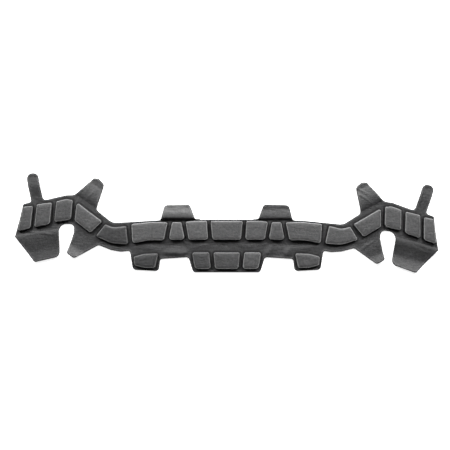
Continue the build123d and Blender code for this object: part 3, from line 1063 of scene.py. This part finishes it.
class LINER_OT_hooks(bpy.types.Operator):
    """Make the hook patch on the back of each tab"""

    bl_idname = "liner.hooks"
    bl_label = "Hook patches"

    def execute(self, context):
        pitch = context.scene.liner_sizes.hook_pitch
        for body, node in BODY_NODES.items():
            if not node.startswith("tab_"):
                continue
            cad = f"hook_{node[4:]}"
            rim = hull_loop(places_of(frame["nodes"][cad].data)[:, :2])
            loop = rounded(rim, np.full(len(rim), 0.5 * MM), 1.0 * MM, 3)
            middle = loop.mean(0)
            ring_xy = middle + (loop - middle)[None] * TAPE_SCALES[:, None, None]
            under = sheet_height(ring_xy.reshape(-1, 2) / MM).reshape(ring_xy.shape[:2]) - SKIN - REST_GAP
            low = under - TAPE
            low[0] += TAPE_ROUND
            upper, lower = (np.concatenate([ring_xy, level[:, :, None]], 2) for level in (under, low))
            rings = np.concatenate([upper[::-1], lower])
            count = rings.shape[1]
            poles = np.r_[[[*middle, under[-1].mean()]], [[*middle, under[-1].mean() - TAPE]]]
            pole_at = len(rings) * count
            faces = ring_faces(len(rings), count)[:, ::-1].tolist()
            faces += fan(np.arange(count), pole_at).tolist()
            faces += fan(np.arange(pole_at - count, pole_at), pole_at + 1, True).tolist()
            spots = staggered(loop.min(0) + 1.0 * MM, loop.max(0), pitch, pitch)
            spots = spots[inside(spots, middle + (loop - middle) * 0.93)]
            points = np.r_[rings.reshape(-1, 3), poles]
            base = sheet_height(spots / MM) - SKIN - REST_GAP - TAPE * 0.9
            studs, stud_faces = hook_studs(spots, base, HOOK_TALL)
            faces += [[v + len(points) for v in face if v >= 0] for face in stud_faces.tolist()]
            points = np.r_[points, studs]
            piece = new_piece(f"{cad}_tape", points, faces)
            piece.data.materials.append(hook_finish())
            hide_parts(cad)
            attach(piece, body)
        return {"FINISHED"}


def hull_loop(points):
    """Corners of the convex outline of points, anticlockwise: those furthest out in 48 directions."""
    turn = np.linspace(0, 2 * np.pi, 48, endpoint=False)
    reach = points @ np.stack([np.cos(turn), np.sin(turn)])
    picked = points[reach.argmax(0)]
    apart = np.linalg.norm(picked - np.roll(picked, 1, 0), axis=1) > 0.6 * MM
    return picked[apart]


FLOOR_HALF, FLOOR_LEVEL = 12.0, -0.0008
# Soft boxes: place, width, depth and power
KEY_PLACE, KEY_BOX = (0.58, 0.78, 0.74), (0.32, 0.26, 14.5)
OVERHEAD_PLACE, OVERHEAD_BOX = (0.0, 0.20, 1.70), (1.0, 0.5, 1.0)
CAMERA_AWAY, VIEW_WIDTH, AIM = 1.0, 0.630, (-2.4 * MM, 7.7 * MM)  # aim: across from the middle, and up


class LINER_OT_stage(bpy.types.Operator):
    """Make the floor, the soft lights and the camera"""

    bl_idname = "liner.stage"
    bl_label = "Stage"

    def execute(self, context):
        scene = context.scene
        colours = scene.liner_colours
        mesh = bpy.data.meshes.new("floor")
        corners = ((-1, -1), (1, -1), (1, 1), (-1, 1))
        mesh.from_pydata([(x * FLOOR_HALF, y * FLOOR_HALF, FLOOR_LEVEL) for x, y in corners], [],
                         [(0, 1, 2, 3)])
        floor = bpy.data.objects.new("floor", mesh)
        scene.collection.objects.link(floor)
        finish = Finish("floor_paper")
        finish.set(Base_Color=(*colours.floor, 1.0), Roughness=0.9, Specular_IOR_Level=0.1,
                   Emission_Color=(1.0, 1.0, 1.0, 1.0), Emission_Strength=0.85)
        mesh.materials.append(finish.material)
        for side, way in SIDES.items():
            self.light(scene, f"key_softbox_{side}", (KEY_PLACE[0] * way, *KEY_PLACE[1:]), *KEY_BOX)
        self.light(scene, "overhead_softbox", OVERHEAD_PLACE, *OVERHEAD_BOX)
        world = bpy.data.worlds.new("studio")
        world.use_nodes = True
        glow = world.node_tree.nodes["Background"].inputs
        glow["Color"].default_value = (1, 1, 1, 1)
        glow["Strength"].default_value = 0.03
        scene.world = world
        low, high = (Vector(corner) for corner in CAD_BOX)
        aim = Vector(((low.x + high.x) / 2 + AIM[0], AIM[1], SHEET_TOP))
        camera = bpy.data.cameras.new("camera")
        camera.lens = camera.sensor_width * CAMERA_AWAY / VIEW_WIDTH
        viewer = bpy.data.objects.new("camera", camera)
        viewer.location = aim + Vector((0, 0, CAMERA_AWAY))
        scene.collection.objects.link(viewer)
        scene.camera = viewer
        scene.view_settings.view_transform = "Standard"
        return {"FINISHED"}

    def light(self, scene, name, place, width, depth, power):
        """An area light that faces the object."""
        lamp = bpy.data.lights.new(name, "AREA")
        lamp.shape = "RECTANGLE"
        lamp.size, lamp.size_y, lamp.energy = width, depth, power
        holder = bpy.data.objects.new(name, lamp)
        holder.location = place
        holder.rotation_euler = (-Vector(place)).to_track_quat("-Z", "Y").to_euler()
        scene.collection.objects.link(holder)


STEPS = ("stage", "covers", "foam", "lining", "hooks")


class LINER_PT_panel(bpy.types.Panel):
    """Sizes, colours and the steps that make the liner"""

    bl_idname = "LINER_PT_panel"
    bl_label = "Liner strip"
    bl_space_type = "VIEW_3D"
    bl_region_type = "UI"
    bl_category = "Liner strip"

    def draw(self, context):
        for group in (context.scene.liner_sizes, context.scene.liner_colours):
            for name in type(group).__annotations__:
                self.layout.prop(group, name)
        for step in STEPS:
            self.layout.operator(f"liner.{step}")


CLASSES = (LinerSizes, LinerColours, LINER_OT_stage, LINER_OT_covers, LINER_OT_foam, LINER_OT_lining,
           LINER_OT_hooks, LINER_PT_panel)


def register():
    for cls in CLASSES:
        bpy.utils.register_class(cls)
    bpy.types.Scene.liner_sizes = PointerProperty(type=LinerSizes)
    bpy.types.Scene.liner_colours = PointerProperty(type=LinerColours)


def unregister():
    del bpy.types.Scene.liner_sizes, bpy.types.Scene.liner_colours
    for cls in reversed(CLASSES):
        bpy.utils.unregister_class(cls)


def main():
    register()
    for step in STEPS:
        getattr(bpy.ops.liner, step)()


if __name__ == "__main__":
    main()
